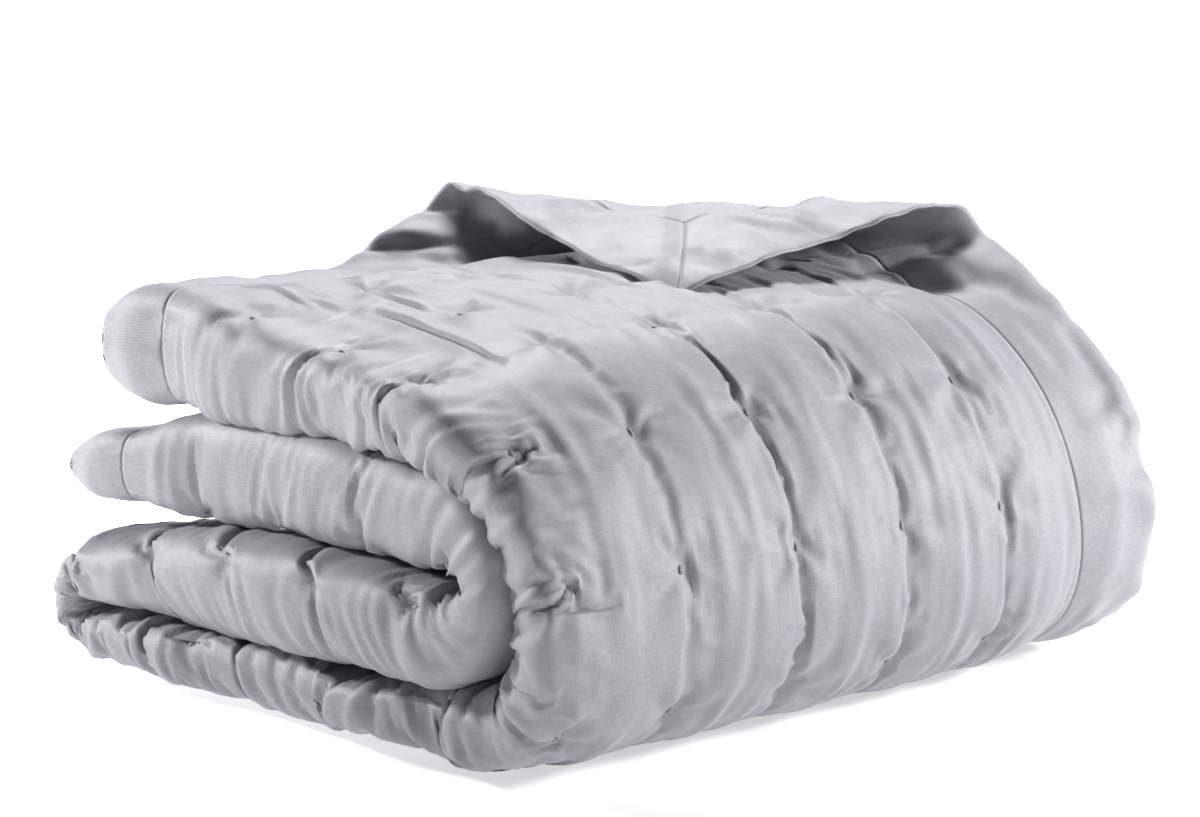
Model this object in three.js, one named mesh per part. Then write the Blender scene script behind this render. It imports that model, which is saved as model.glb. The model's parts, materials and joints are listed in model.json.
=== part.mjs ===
// A tufted quilt with a plain mitred border, folded in half along its length and then twice across.
// The far corner of its top ply is turned back over the stack.
// Millimetres, +Z up. X runs from the open ends to the big turn, Y from the long fold to the far hems.
import * as THREE from "three";

// The quilt laid flat: u runs along its length, v across its width from the long fold
const ROW_PITCH = 105;
const COLUMN_PITCH = 101;
const ROWS = 20;
const COLUMNS_PER_PLY = 5;
const MARGIN = 84; // from the outermost tufts to the border seam
const BORDER = 84;
const SEAM_GAP = 0.3;
const LENGTH = 2 * (BORDER + MARGIN) + (ROWS - 1) * ROW_PITCH;
const HALF_PITCH = COLUMN_PITCH / 2;
const HALF_WIDTH = (COLUMNS_PER_PLY - 0.5) * COLUMN_PITCH + MARGIN + BORDER;
const PANEL_HALF_WIDTH = HALF_WIDTH - BORDER;

// Thickness of a ply as a part of its full loft
const LOFT = { tuft: 0.35, columnCrease: 0.8, rowCrease: 0.9, seam: 0.5, border: 0.66, hem: 0.25, squeezed: 0.8 };
const SEAM_SLOPE = 60; // how far from the border seam the panel reaches its full loft
const TUFT_SHARPNESS = 1.5;
const CREASE_SHARPNESS = 2;

// The folded strip in its XZ section, a row for each layer or turn from the free top end to the free under end.
// x, z: middle of the two plies at the row's start. bow: how far the row's middle stands off its chord.
// half, ply: half the height of the two plies and the loft of one, at the row's start and middle.
// upper, lower: cloth taken up by the ply that starts on top and by the one that starts beneath it.
const SECTIONS = [
  { turn: false, x: -371, z: 241, bow: 7, half: [52, 44], ply: [34, 32], upper: 376, lower: 376 },
  { turn: true, x: 5, z: 251, bow: 114, half: [36, 23], ply: [31, 21], upper: 419, lower: 388 },
  { turn: false, x: 37, z: 30, bow: 3, half: [33, 34], ply: [30, 31], upper: 412, lower: 412 },
  { turn: true, x: -375, z: 23, bow: -25, half: [24, 21], ply: [21, 19], upper: 148, lower: 130 },
  { turn: false, x: -372, z: 73, bow: 10, half: [23, 30], ply: [21, 27], upper: 402, lower: 402 },
  { turn: true, x: 30, z: 103, bow: 55, half: [29, 20], ply: [27, 18], upper: 117, lower: 165 },
  { turn: false, x: 30, z: 170, bow: 10, half: [32, 36], ply: [30, 32], upper: 457, lower: 458 },
];
const UNDER_END = { x: -416, z: 145, half: [33], ply: [25] };
const TURN_SAG = 8; // how far the big turn's belly hangs below its middle
const SAGGING_TURN = 1;

// The long fold along the near side
const NOSE_DEPTH = 38;
const WANDER = { reach: 7, wave: 640, fineReach: 3, fineWave: 230 }; // the layers are not quite in line

// The top ply's far corner, turned back along a slanting line
const TURNBACK = { x: -371, y: 172, angle: 46.8, loopNear: 195, loopMiddle: 97, loopFar: 122, dip: 6.5 };
const LOOP_STEPS = 60;

// Middle of the folded quilt's footprint
const CENTRE_X = -128.2;
const CENTRE_Y = 267;

// Mesh lines for each tuft cell, and for each stretch beside the cells
const CELL_STEPS = 3;
const CORNER_CELL_STEPS = 4;
const UNDER_CELL_STEPS = 2;
const CORNER_ROWS = 3;
const TIGHT_CELL_STEPS = 5;
const TIGHT_ROWS = [9, 10, 11, 15, 16]; // rows whose cells go round the two tight turns
const NOSE_STEPS = 6;
const MARGIN_STEPS = 2;
const BORDER_STEPS = 3;

const COLOURS = {
  tufted_panel: 0xb8b6c2,
  border_top_end: 0xbcbac6,
  border_under_end: 0xb4b2be,
  border_upper_side: 0xbab8c4,
  border_lower_side: 0xb2b0bc,
};

const { lerp, smoothstep, clamp } = THREE.MathUtils;

// One layer or turn of the section, as a curve in X and Z
class SectionCurve extends THREE.Curve {
  constructor(start, end, sag) {
    super();
    Object.assign(this, { start, end, sag });
  }

  getPoint(t, target = new THREE.Vector2()) {
    const { start, end, sag } = this;
    if (!start.turn) {
      return target.set(lerp(start.x, end.x, t), lerp(start.z, end.z, t) + start.bow * 4 * t * (1 - t));
    }
    const angle = Math.PI * t;
    const across = (1 - Math.cos(angle)) / 2;
    const out = start.bow * Math.sin(angle) - sag * Math.sin(2 * angle);
    return target.set(lerp(start.x, end.x, across) + out, lerp(start.z, end.z, across));
  }
}

const curves = SECTIONS.map((start, index) => {
  const end = SECTIONS[index + 1] ?? UNDER_END;
  return new SectionCurve(start, end, index === SAGGING_TURN ? TURN_SAG : 0);
});

// A size given at each section's start and middle, eased between them
function easedSize(column, index, fraction) {
  const [start, middle] = SECTIONS[index][column];
  const [end] = (SECTIONS[index + 1] ?? UNDER_END)[column];
  if (fraction < 0.5) {
    return lerp(start, middle, smoothstep(fraction, 0, 0.5));
  }
  return lerp(middle, end, smoothstep(fraction, 0.5, 1));
}

// Where the cloth at length u lies in the section: the plies take up cloth at different rates in the turns
function station(u, lowerShare) {
  let left = u;
  for (const [index, section] of SECTIONS.entries()) {
    const cloth = lerp(section.upper, section.lower, lowerShare);
    if (left <= cloth || index === SECTIONS.length - 1) {
      const fraction = clamp(left / cloth, 0, 1);
      const middle = curves[index].getPointAt(fraction);
      const tangent = curves[index].getTangentAt(fraction);
      return {
        index,
        fraction,
        middle,
        normal: new THREE.Vector2(-tangent.y, tangent.x),
        half: easedSize("half", index, fraction),
        ply: easedSize("ply", index, fraction),
      };
    }
    left -= cloth;
  }
}

// 1 on a line of tufts, 0 halfway to the next line
function nearness(position, last) {
  const line = clamp(Math.round(position), 0, last);
  const distance = Math.min(Math.abs(position - line), 0.5);
  return Math.cos(Math.PI * distance) ** 2;
}

// How much the inside of a turn squeezes the puffs out of a ply: side is 1 on the upper ply and -1 on the lower
function squeezeAt(index, fraction, side) {
  const { turn, bow, z } = SECTIONS[index];
  if (!turn) {
    return 0;
  }
  const upperOutside = bow * (z - SECTIONS[index + 1].z) > 0;
  return Math.sin(Math.PI * fraction) * (upperOutside ? 1 - side : 1 + side) / 2;
}

// Thickness of a ply at a point of the flat quilt, as a part of its full loft
function loftAt(u, v, squeeze) {
  const inside = Math.min(u - BORDER, LENGTH - BORDER - u, PANEL_HALF_WIDTH - Math.abs(v));
  if (inside < 0) {
    const outward = Math.min(-inside / BORDER, 1);
    const crown = LOFT.border - (LOFT.seam + LOFT.hem) / 2;
    return lerp(LOFT.seam, LOFT.hem, outward) + crown * Math.sin(Math.PI * outward);
  }
  const row = nearness((u - BORDER - MARGIN) / ROW_PITCH, ROWS - 1);
  const column = nearness((Math.abs(v) - HALF_PITCH) / COLUMN_PITCH, COLUMNS_PER_PLY - 1);
  const tuft = (row * column) ** TUFT_SHARPNESS;
  const columnCrease = lerp(1, LOFT.columnCrease, column ** CREASE_SHARPNESS);
  const rowCrease = lerp(1, LOFT.rowCrease, row ** CREASE_SHARPNESS);
  const quilted = lerp(lerp(columnCrease * rowCrease, LOFT.tuft, tuft), LOFT.squeezed, squeeze);
  return Math.min(quilted, lerp(LOFT.seam, 1, smoothstep(inside, 0, SEAM_SLOPE)));
}

// The loop of the turned-back corner for a unit of cloth: how far it runs out, how high it stands and how it leans
const loop = [{ out: 0, up: 0, lean: 0 }];
for (let step = 1; step <= LOOP_STEPS; step += 1) {
  const lean = (Math.PI + THREE.MathUtils.degToRad(TURNBACK.dip)) * smoothstep(step, 0, LOOP_STEPS);
  const last = loop[step - 1];
  const between = (last.lean + lean) / 2;
  loop.push({
    out: last.out + Math.cos(between) / LOOP_STEPS,
    up: last.up + Math.sin(between) / LOOP_STEPS,
    lean,
  });
}

const slant = THREE.MathUtils.degToRad(TURNBACK.angle);
const foldLine = new THREE.Vector3(Math.cos(slant), Math.sin(slant), 0);
const foldAcross = new THREE.Vector3(-Math.sin(slant), Math.cos(slant), 0);
const foldStart = new THREE.Vector3(TURNBACK.x, TURNBACK.y, 0);
const foldLength = (HALF_WIDTH - HALF_PITCH - TURNBACK.y) / Math.sin(slant);

// Turns a point of the top ply, and the way its face looks, over the slanting line
function turnBack(point, normal) {
  const offset = point.clone().sub(foldStart);
  const beyond = offset.dot(foldAcross);
  if (beyond <= 0) {
    return;
  }
  const along = clamp(offset.dot(foldLine) / foldLength, 0, 1);
  const length = along < 0.5
    ? lerp(TURNBACK.loopNear, TURNBACK.loopMiddle, smoothstep(along, 0, 0.5))
    : lerp(TURNBACK.loopMiddle, TURNBACK.loopFar, smoothstep(along, 0.5, 1));
  const position = Math.min(beyond / length, 1) * LOOP_STEPS;
  const step = Math.min(Math.floor(position), LOOP_STEPS - 1);
  const part = position - step;
  const lean = lerp(loop[step].lean, loop[step + 1].lean, part);
  const flap = Math.max(beyond - length, 0);
  const out = length * lerp(loop[step].out, loop[step + 1].out, part) + flap * Math.cos(lean);
  const up = length * lerp(loop[step].up, loop[step + 1].up, part) + flap * Math.sin(lean);
  point.addScaledVector(foldAcross, out - beyond);
  point.z += up;
  normal.applyAxisAngle(foldLine, lean);
}

// The point of the folded quilt for a point of the flat one, on its outer face (1) or its inner face (-1)
function folded(u, v, face) {
  const side = clamp(-v / HALF_PITCH, -1, 1);
  const { index, fraction, middle, normal, half, ply } = station(u, smoothstep(v, -HALF_PITCH, HALF_PITCH));
  const thickness = ply * loftAt(u, v, squeezeAt(index, fraction, side));
  const shift = WANDER.reach * Math.sin((2 * Math.PI * u) / WANDER.wave)
    + WANDER.fineReach * Math.sin((2 * Math.PI * u) / WANDER.fineWave);
  const facing = new THREE.Vector3(normal.x, 0, normal.y);
  const point = new THREE.Vector3(middle.x, shift, middle.y);
  if (Math.abs(v) < HALF_PITCH) {
    const turn = (side * Math.PI) / 2;
    const depth = face > 0 ? NOSE_DEPTH : NOSE_DEPTH - thickness;
    point.y -= depth * Math.cos(turn);
    point.addScaledVector(facing, (half - ply / 2 + (face * thickness) / 2) * Math.sin(turn));
  } else {
    point.y += Math.abs(v) - HALF_PITCH;
    point.addScaledVector(facing, side * (half - ply / 2));
    if (side > 0 && index <= SAGGING_TURN) {
      turnBack(point, facing);
    }
    point.addScaledVector(facing, (side * face * thickness) / 2);
  }
  point.z = Math.max(point.z, 0);
  return point.sub(new THREE.Vector3(CENTRE_X, CENTRE_Y, 0));
}

// A closed solid between the outer and inner face over a grid, wound so that its faces look out.
// Each cell is split along the slant of the turned-back corner, so that the corner's loop is smooth.
function paddedGeometry(columns, rows, flatPoint) {
  const positions = [];
  for (const face of [1, -1]) {
    for (let i = 0; i < columns; i += 1) {
      for (let j = 0; j < rows; j += 1) {
        const { u, v } = flatPoint(i, j);
        positions.push(...folded(u, v, face).toArray());
      }
    }
  }
  const layer = columns * rows;
  const at = (i, j, inner) => i * rows + j + (inner ? layer : 0);
  const indices = [];
  const quad = (a, b, c, d) => indices.push(a, b, c, a, c, d);
  const slantOf = (i, j) => flatPoint(i, j).u + flatPoint(i, j).v;
  for (let i = 0; i < columns - 1; i += 1) {
    for (let j = 0; j < rows - 1; j += 1) {
      const corners = [[i, j], [i + 1, j], [i + 1, j + 1], [i, j + 1]];
      const slants = corners.map(([column, row]) => slantOf(column, row));
      if (Math.abs(slants[1] - slants[3]) < Math.abs(slants[0] - slants[2])) {
        corners.push(corners.shift());
      }
      quad(...corners.map(([column, row]) => at(column, row)));
      corners.reverse();
      corners.unshift(corners.pop());
      quad(...corners.map(([column, row]) => at(column, row, true)));
    }
  }
  for (let i = 0; i < columns - 1; i += 1) {
    quad(at(i, 0), at(i, 0, true), at(i + 1, 0, true), at(i + 1, 0));
    quad(at(i, rows - 1), at(i + 1, rows - 1), at(i + 1, rows - 1, true), at(i, rows - 1, true));
  }
  for (let j = 0; j < rows - 1; j += 1) {
    quad(at(0, j), at(0, j + 1), at(0, j + 1, true), at(0, j, true));
    quad(at(columns - 1, j), at(columns - 1, j, true), at(columns - 1, j + 1, true), at(columns - 1, j + 1));
  }
  const geometry = new THREE.BufferGeometry();
  geometry.setAttribute("position", new THREE.Float32BufferAttribute(positions, 3));
  geometry.setIndex(volume(positions, indices) < 0 ? indices.reverse() : indices);
  geometry.computeVertexNormals();
  return geometry;
}

function volume(positions, indices) {
  const corner = (k) => new THREE.Vector3().fromArray(positions, 3 * indices[k]);
  let sum = 0;
  for (let k = 0; k < indices.length; k += 3) {
    sum += corner(k).dot(corner(k + 1).cross(corner(k + 2))) / 6;
  }
  return sum;
}

// Evenly spaced values after the first one, up to and with the last
function stepsTo(first, last, count) {
  return Array.from({ length: count }, (_, step) => lerp(first, last, (step + 1) / count));
}

// Mesh lines of the panel along its length
function lengthLines() {
  const firstRow = BORDER + MARGIN;
  const lines = [BORDER + SEAM_GAP / 2];
  lines.push(...stepsTo(lines[0], firstRow, MARGIN_STEPS + 1));
  for (let row = 0; row < ROWS - 1; row += 1) {
    const start = firstRow + row * ROW_PITCH;
    const plain = row < CORNER_ROWS ? CORNER_CELL_STEPS : CELL_STEPS;
    lines.push(...stepsTo(start, start + ROW_PITCH, TIGHT_ROWS.includes(row) ? TIGHT_CELL_STEPS : plain));
  }
  lines.push(...stepsTo(LENGTH - firstRow, LENGTH - BORDER - SEAM_GAP / 2, MARGIN_STEPS));
  return lines;
}

// Mesh lines of the panel across its width, from the upper ply's far seam round the long fold to the lower ply's
function widthLines() {
  const edge = PANEL_HALF_WIDTH - SEAM_GAP / 2;
  const outermost = PANEL_HALF_WIDTH - MARGIN;
  const lines = [-edge, ...stepsTo(-edge, -outermost, MARGIN_STEPS + 1)];
  for (let column = COLUMNS_PER_PLY - 1; column > 0; column -= 1) {
    const start = -HALF_PITCH - column * COLUMN_PITCH;
    lines.push(...stepsTo(start, start + COLUMN_PITCH, column > 1 ? CORNER_CELL_STEPS : CELL_STEPS));
  }
  lines.push(...stepsTo(-HALF_PITCH, HALF_PITCH, NOSE_STEPS));
  lines.push(...stepsTo(HALF_PITCH, outermost, (COLUMNS_PER_PLY - 1) * UNDER_CELL_STEPS));
  lines.push(...stepsTo(outermost, edge, MARGIN_STEPS));
  return lines;
}

// Lines along a border strip whose ends are mitred: the strip grows longer from its seam to its hem
function mitredLines(panelLines, growth) {
  return [panelLines[0] - growth, ...panelLines.slice(1, -1), panelLines.at(-1) + growth];
}

const alongLength = lengthLines();
const acrossWidth = widthLines();

function panelGeometry() {
  const at = (i, j) => ({ u: alongLength[i], v: acrossWidth[j] });
  return paddedGeometry(alongLength.length, acrossWidth.length, at);
}

// A strip beside a seam: place gives the flat point for a distance along the strip and one out from the seam
function borderGeometry(panelLines, place) {
  const outwards = [SEAM_GAP / 2, ...stepsTo(SEAM_GAP / 2, BORDER, BORDER_STEPS)];
  const grid = outwards.map((out) => mitredLines(panelLines, out - SEAM_GAP));
  return paddedGeometry(grid[0].length, outwards.length, (i, j) => place(grid[j][i], outwards[j]));
}

const geometries = {
  tufted_panel: panelGeometry(),
  border_top_end: borderGeometry(acrossWidth, (along, out) => ({ u: BORDER - out, v: along })),
  border_under_end: borderGeometry(acrossWidth, (along, out) => ({ u: LENGTH - BORDER + out, v: along })),
  border_upper_side: borderGeometry(alongLength, (along, out) => ({ u: along, v: -PANEL_HALF_WIDTH - out })),
  border_lower_side: borderGeometry(alongLength, (along, out) => ({ u: along, v: PANEL_HALF_WIDTH + out })),
};

const quilt = new THREE.Group();
for (const [name, geometry] of Object.entries(geometries)) {
  const material = new THREE.MeshStandardMaterial({ color: COLOURS[name], roughness: 0.7, metalness: 0 });
  const mesh = new THREE.Mesh(geometry, material);
  mesh.name = name;
  quilt.add(mesh);
}

export default quilt;
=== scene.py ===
import json
import math

import bmesh
import bpy
import numpy as np
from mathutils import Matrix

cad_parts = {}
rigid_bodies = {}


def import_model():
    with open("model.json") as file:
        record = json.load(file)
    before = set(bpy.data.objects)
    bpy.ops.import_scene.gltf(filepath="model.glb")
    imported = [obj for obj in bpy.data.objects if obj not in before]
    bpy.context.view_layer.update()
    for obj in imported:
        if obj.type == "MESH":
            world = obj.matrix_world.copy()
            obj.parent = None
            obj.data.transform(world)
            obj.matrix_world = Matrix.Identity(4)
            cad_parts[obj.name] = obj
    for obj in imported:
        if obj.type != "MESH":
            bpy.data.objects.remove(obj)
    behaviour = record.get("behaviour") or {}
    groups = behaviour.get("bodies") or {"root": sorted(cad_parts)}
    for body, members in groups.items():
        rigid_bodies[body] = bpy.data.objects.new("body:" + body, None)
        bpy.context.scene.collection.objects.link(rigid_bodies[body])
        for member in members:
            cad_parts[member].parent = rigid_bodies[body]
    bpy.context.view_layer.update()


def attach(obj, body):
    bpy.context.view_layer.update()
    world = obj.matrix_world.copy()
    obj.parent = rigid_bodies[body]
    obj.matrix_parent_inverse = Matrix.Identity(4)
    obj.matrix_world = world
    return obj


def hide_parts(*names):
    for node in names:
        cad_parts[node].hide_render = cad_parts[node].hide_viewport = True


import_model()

# The quilt laid flat, in millimetres: u along its length, v across its width from the long fold
ROW_PITCH = 105.0
COLUMN_PITCH = 101.0
ROWS = 20
COLUMNS_PER_PLY = 5
MARGIN = 84.0
BORDER = 84.0
LENGTH = 2 * (BORDER + MARGIN) + (ROWS - 1) * ROW_PITCH
HALF_PITCH = COLUMN_PITCH / 2
HALF_WIDTH = (COLUMNS_PER_PLY - 0.5) * COLUMN_PITCH + MARGIN + BORDER
PANEL_HALF_WIDTH = HALF_WIDTH - BORDER
METRES = 0.001

# Thickness of a ply as a part of its full loft
TUFT_DEPTH = 0.25
COLUMN_CREASE = (0.06, 0.13)
ROW_CREASE = (0.04, 0.06)
NOSE_ROW_CREASE = (0.05, 0.0)
SEAM_LOFT = 0.36
BORDER_LOFT = 0.5
HEM_LOFT = 0.1
HEM_ROUND = 0.3
BORDER_SKIN = 0.7
NOSE_FULLNESS = (0.3, 0.12)
SQUEEZED_LOFT = 0.8
SEAM_SLOPE = 60.0
HEM_SHARE = 0.8
# How sharp the lines between tufts, the row lines and the tufts are
LINE_SHARPNESS = 24
ROW_SHARPNESS = 8
TUFT_SHARPNESS = 7
DEEPEST_DENT = 0.75
# How much of the lines is left on top of the folded quilt and beside the long fold, and where that ends
TOP_CREASE = 0.25
TOP_CREASE_ENDS = (250, 480)
FOLD_CREASE = 0.3
FOLD_CREASE_ENDS = (60, 120)
NOSE_ENDS = (30, HALF_PITCH + 15)

# Layers and turns of the folded strip: turn, x, z, bow, halves, plies, cloth of the upper and lower ply
SECTIONS = [
    (False, -371, 241, 7, (52, 44), (34, 32), 376, 376),
    (True, 5, 251, 114, (36, 23), (31, 21), 419, 388),
    (False, 37, 29, 2, (31, 29), (29, 27), 412, 412),
    (True, -375, 23, -25, (24, 21), (21, 19), 148, 130),
    (False, -372, 72, 9, (25, 36), (22, 32), 402, 402),
    (True, 30, 100, 55, (32, 20), (29, 18), 117, 165),
    (False, 30, 170, 10, (32, 36), (30, 32), 457, 458),
]
UNDER_END = (False, -416, 145, 0, (33, 33), (25, 25), 0, 0)
SAGGING_TURN = 1
TURN_SAG = 8.0
# How much the loose ends thin toward the hem, how far along, and how far across on the top and under layer
END_TAPER = 0.34
END_REACH = 65.0
TAPER_START = 60
TAPER_ENDS = (140, 420)
# How far the long fold stands out beyond its tufts, at places along the quilt
NOSE_DEPTHS = (
    (0, 30), (40, 37), (80, 39), (350, 37), (480, 29), (590, 24), (700, 28), (800, 38), (1200, 41),
    (1400, 55), (1650, 52), (1750, 37), (1815, 28), (1900, 33), (2250, 34), (2295, 33), (2331, 28),
)
# How far the long fold runs beside the middle between two columns of tufts, at places along the quilt
FOLD_SHIFTS = (
    (0, -6), (376, -8), (560, -10), (700, -10), (820, -20), (1180, -22), (1300, -26), (1400, -36),
    (1700, -36), (1800, -30), (1900, -26), (2331, -24),
)
SHIFT_FADES = (70, 320)
# How far the upper side of the long fold drops below its ply, at places along the quilt
FOLD_DROPS = ((0, -6), (84, -8), (170, 10), (230, 18), (376, 20), (520, 0), (2331, 0))
DROP_FADES = (45, 165)
LEAST_NOSE = 4
# Reach and length of the waves in which the long fold wanders
WANDER = ((7.0, 640.0), (3.0, 230.0))

# The top ply's far corner, turned back along a slanting line
TURNBACK_START = np.array((-371.0, 172.0, 0.0))
TURNBACK_ANGLE = math.radians(46.8)
# Length of the loop and how much sooner it starts, at shares of the slanting line
LOOP_LENGTHS = (
    (0, 178), (0.12, 168), (0.2, 148), (0.3, 105), (0.4, 80), (0.5, 70), (0.6, 84), (0.7, 112),
    (0.8, 128), (0.9, 140), (1, 165),
)
LOOP_STARTS = (
    (0, 0), (0.2, 0), (0.35, -24), (0.5, -30), (0.6, -14), (0.7, 18), (0.8, 44), (0.9, 58), (1, 70),
)
TURNBACK_LEAN = math.radians(180 + 6.5)
LOOP_RISE = math.radians(46)
ROLL_RISE = math.radians(100)
FAR_RISE = math.radians(30)
FLAP_LEVEL = math.radians(174)
FLAP_FALL = math.radians(196)
FLAP_LOFT = 0.4
FLAP_THINS = (0.2, 0.55)
# Where along the slanting line the tent, the roll and the far loop take over from each other
TENT_TO_ROLL = (0.2, 0.35)
ROLL_TO_FAR = (0.52, 0.76)
MITRE_BEYOND = 155.0
MITRE_ALONG = 0.525
SEAM_FALLS = 240.0
MITRE_SOFTNESS = 0.06
HINGE_SOFTNESS = 30.0
CENTRE = np.array((-128.2, 267.0, 0.0))


def blend(a, b, share):
    return a + (b - a) * share


def ease(value, low, high):
    share = np.clip((value - low) / (high - low), 0, 1)
    return share * share * (3 - 2 * share)


def eased_size(start, middle, end, share):
    first = blend(start, middle, ease(share, 0, 0.5))
    second = blend(middle, end, ease(share, 0.5, 1))
    return np.where(share < 0.5, first, second)


# A layer or turn of the section at even steps along its length: middle, normal, half height and ply loft
def section_table(index, steps=800):
    turn, x0, z0, bow, half, ply, _, _ = SECTIONS[index]
    end = SECTIONS[index + 1] if index + 1 < len(SECTIONS) else UNDER_END
    t = np.linspace(0, 1, 4 * steps + 1)
    if turn:
        across = (1 - np.cos(np.pi * t)) / 2
        sag = TURN_SAG if index == SAGGING_TURN else 0
        x = blend(x0, end[1], across) + bow * np.sin(np.pi * t) - sag * np.sin(2 * np.pi * t)
        z = blend(z0, end[2], across)
    else:
        x = blend(x0, end[1], t)
        z = blend(z0, end[2], t) + bow * 4 * t * (1 - t)
    run = np.concatenate(([0], np.cumsum(np.hypot(np.diff(x), np.diff(z)))))
    share = np.linspace(0, 1, steps + 1)
    at = np.interp(share * run[-1], run, t)
    px = np.interp(at, t, x)
    pz = np.interp(at, t, z)
    tx = np.interp(at, t, np.gradient(x, t, edge_order=2))
    tz = np.interp(at, t, np.gradient(z, t, edge_order=2))
    size = np.hypot(tx, tz)
    halves = eased_size(half[0], half[1], end[4][0], share)
    plies = eased_size(ply[0], ply[1], end[5][0], share)
    return share, (px, pz, -tz / size, tx / size, halves, plies)


TABLES = [section_table(index) for index in range(len(SECTIONS))]


# Where the cloth lies in the section: section index, share of it, and the table's values there
def station(u, lower_share):
    index = np.zeros(u.shape, int)
    start = np.zeros(u.shape)
    total = np.zeros(u.shape)
    for k, section in enumerate(SECTIONS[:-1]):
        total = total + blend(section[6], section[7], lower_share)
        past = u > total
        index = np.where(past, k + 1, index)
        start = np.where(past, total, start)
    share = np.zeros(u.shape)
    values = np.zeros((6,) + u.shape)
    for k, section in enumerate(SECTIONS):
        inside = index == k
        cloth = blend(section[6], section[7], lower_share[inside])
        part = np.clip((u[inside] - start[inside]) / cloth, 0, 1)
        share[inside] = part
        steps, columns = TABLES[k]
        for row, column in enumerate(columns):
            values[row][inside] = np.interp(part, steps, column)
    return index, share, values


# 1 on a line of tufts, 0 halfway to the next line
def nearness(position, last):
    line = np.clip(np.round(position), 0, last)
    return np.cos(np.pi * np.minimum(np.abs(position - line), 0.5)) ** 2


def row_nearness(u):
    return nearness((u - BORDER - MARGIN) / ROW_PITCH, ROWS - 1)


def column_nearness(v):
    return nearness((np.abs(v) - HALF_PITCH) / COLUMN_PITCH, COLUMNS_PER_PLY - 1)


def inside_seam(u, v):
    return np.minimum(np.minimum(u - BORDER, LENGTH - BORDER - u), PANEL_HALF_WIDTH - np.abs(v))


# How much the inside of a turn squeezes a ply
def squeeze_at(index, share, side):
    amount = np.zeros(share.shape)
    for k, section in enumerate(SECTIONS):
        if section[0]:
            upper_outside = section[3] * (section[2] - SECTIONS[k + 1][2]) > 0
            inner = (1 - side) / 2 if upper_outside else (1 + side) / 2
            amount = np.where(index == k, np.sin(np.pi * share) * inner, amount)
    return amount


# The lines between tufts crease less on top of the folded quilt than over its turns
def creased_share(u):
    return blend(TOP_CREASE, 1, ease(u, *TOP_CREASE_ENDS))


# Thickness of a ply as a part of its full loft: tufts 1 gives the dimples, 0 a plain puffed ply
def loft_at(u, v, squeeze, tufts):
    inside = inside_seam(u, v)
    outward = np.clip(-inside / BORDER, 0, 1)
    crown = BORDER_LOFT - (SEAM_LOFT + BORDER_LOFT * HEM_SHARE) / 2
    border = blend(SEAM_LOFT, BORDER_LOFT * HEM_SHARE, outward) + crown * np.sin(np.pi * outward)
    edge = np.clip((outward - 1 + HEM_ROUND) / HEM_ROUND, 0, 1)
    border = HEM_LOFT + (border - HEM_LOFT) * np.sqrt(1 - edge * edge)
    row = row_nearness(u)
    column = column_nearness(v)
    nose = 1 - ease(np.abs(v), *NOSE_ENDS)
    row_crease = [blend(plain, over_fold, nose) for plain, over_fold in zip(ROW_CREASE, NOSE_ROW_CREASE)]
    away_from_fold = blend(FOLD_CREASE, 1, ease(np.abs(v), *FOLD_CREASE_ENDS))
    sharp_crease = COLUMN_CREASE[1] * creased_share(u)
    depth = (COLUMN_CREASE[0] * column + sharp_crease * column ** LINE_SHARPNESS) * away_from_fold
    depth = depth + row_crease[0] * row + row_crease[1] * row ** ROW_SHARPNESS
    depth = depth + TUFT_DEPTH * (row * column) ** TUFT_SHARPNESS
    quilted = blend(1 - tufts * np.minimum(depth, DEEPEST_DENT), SQUEEZED_LOFT, squeeze)
    panel = np.minimum(quilted, blend(SEAM_LOFT, 1, ease(inside, 0, SEAM_SLOPE)))
    return np.where(inside < 0, border, panel)


FOLD_LINE = np.array((math.cos(TURNBACK_ANGLE), math.sin(TURNBACK_ANGLE), 0.0))
FOLD_ACROSS = np.array((-math.sin(TURNBACK_ANGLE), math.cos(TURNBACK_ANGLE), 0.0))
FOLD_LENGTH = (HALF_WIDTH - HALF_PITCH - TURNBACK_START[1]) / math.sin(TURNBACK_ANGLE)
LOOP_SHARE = np.linspace(0, 1, 241)


# A loop for a unit of cloth: how it leans, how far it runs out and how high it stands
def loop_table(lean):
    between = (lean[1:] + lean[:-1]) / 2
    out = np.concatenate(([0], np.cumsum(np.cos(between)))) / (len(lean) - 1)
    up = np.concatenate(([0], np.cumsum(np.sin(between)))) / (len(lean) - 1)
    return lean, out, up


TENT_TURN = (TURNBACK_LEAN - LOOP_RISE) * ease(LOOP_SHARE, 0.48, 0.82)
TENT_LOOP = loop_table(LOOP_RISE * ease(LOOP_SHARE, 0, 0.12) + TENT_TURN)
ROLL_TURN = (TURNBACK_LEAN - ROLL_RISE) * ease(LOOP_SHARE, 0.5, 0.95)
ROLL_LOOP = loop_table(ROLL_RISE * ease(LOOP_SHARE, 0, 0.32) + ROLL_TURN)
FAR_TURN = (TURNBACK_LEAN - FAR_RISE) * ease(LOOP_SHARE, 0.5, 0.88)
FAR_LOOP = loop_table(FAR_RISE * ease(LOOP_SHARE, 0, 0.15) + FAR_TURN)


# Place along the slanting line and beyond it, and the length of the loop there
def slant_place(point):
    offset = point - TURNBACK_START
    along = np.clip(offset @ FOLD_LINE / FOLD_LENGTH, 0, 1)
    shift = np.interp(along, *zip(*LOOP_STARTS))
    beyond = offset @ FOLD_ACROSS + shift
    return along, shift, beyond, np.interp(along, *zip(*LOOP_LENGTHS))


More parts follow.
